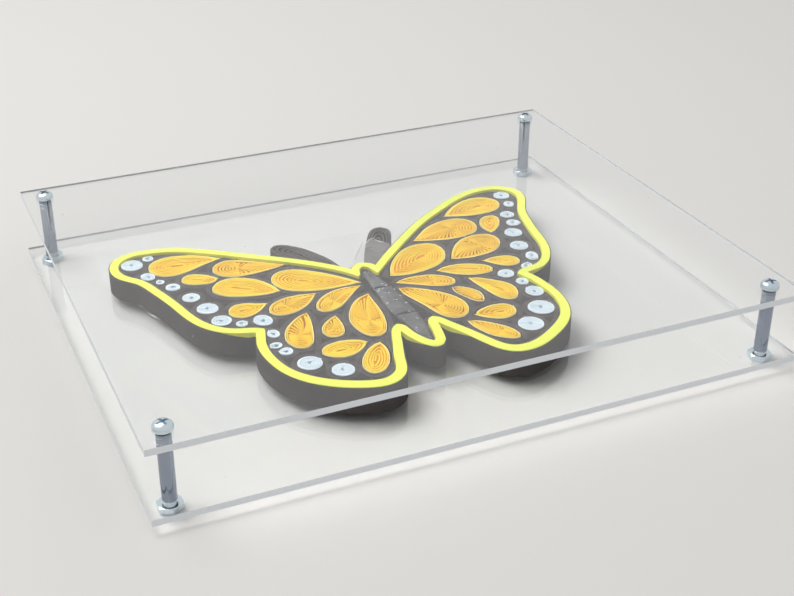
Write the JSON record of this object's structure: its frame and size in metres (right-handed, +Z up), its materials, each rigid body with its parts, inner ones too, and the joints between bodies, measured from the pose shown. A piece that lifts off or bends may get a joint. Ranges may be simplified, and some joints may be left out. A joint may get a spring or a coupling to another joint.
{
  "type": "quilled paper butterfly",
  "caption": "Butterfly of quilled paper coils with a yellow rim, mounted flat between two clear acrylic sheets on spacer tubes.",
  "frame": {"origin": "middle of the rectangle of the sheets, in the plane of the foot nuts' undersides", "axes": "+X towards the right wing, +Y towards the antennae, +Z up through the sheets"},
  "size_m": [0.3048, 0.254, 0.0423],
  "materials": {
    "clear_acrylic": "clear gloss, saw-cut edges",
    "zinc_steel": "bright zinc",
    "polished_tube": "polished",
    "nut_steel": "bright zinc",
    "orange_paper": "matt strip edges",
    "white_paper": "matt strip edges",
    "yellow_paper": "matt strip edges",
    "black_paper": "matt strip edges"
  },
  "bodies": {
    "root": {"abdomen_front": "black_paper", "abdomen_rear": "black_paper", "acrylic_bottom_sheet": "clear_acrylic", "acrylic_top_sheet": "clear_acrylic", "antenna_left": "black_paper", "antenna_right": "black_paper", "black_filling": "black_paper", "black_outer_strip": "black_paper", "foot_nuts": "nut_steel", "quill_left_forewing_1": "orange_paper", "quill_left_forewing_2": "orange_paper", "quill_left_forewing_3": "orange_paper", "quill_left_forewing_4": "orange_paper", "quill_left_forewing_5": "orange_paper", "quill_left_forewing_6": "orange_paper", "quill_left_forewing_7": "orange_paper", "quill_left_forewing_8": "orange_paper", "quill_left_hindwing_1": "orange_paper", "quill_left_hindwing_2": "orange_paper", "quill_left_hindwing_3": "orange_paper", "quill_left_hindwing_4": "orange_paper", "quill_left_hindwing_5": "orange_paper", "quill_right_forewing_1": "orange_paper", "quill_right_forewing_2": "orange_paper", "quill_right_forewing_3": "orange_paper", "quill_right_forewing_4": "orange_paper", "quill_right_forewing_5": "orange_paper", "quill_right_forewing_6": "orange_paper", "quill_right_forewing_7": "orange_paper", "quill_right_forewing_8": "orange_paper", "quill_right_hindwing_1": "orange_paper", "quill_right_hindwing_2": "orange_paper", "quill_right_hindwing_3": "orange_paper", "quill_right_hindwing_4": "orange_paper", "quill_right_hindwing_5": "orange_paper", "screws": "zinc_steel", "spacer_tubes": "polished_tube", "thorax": "black_paper", "white_spots_left_forewing": "white_paper", "white_spots_left_hindwing": "white_paper", "white_spots_right_forewing": "white_paper", "white_spots_right_hindwing": "white_paper", "yellow_rim": "yellow_paper"}
  },
  "joints": []
}
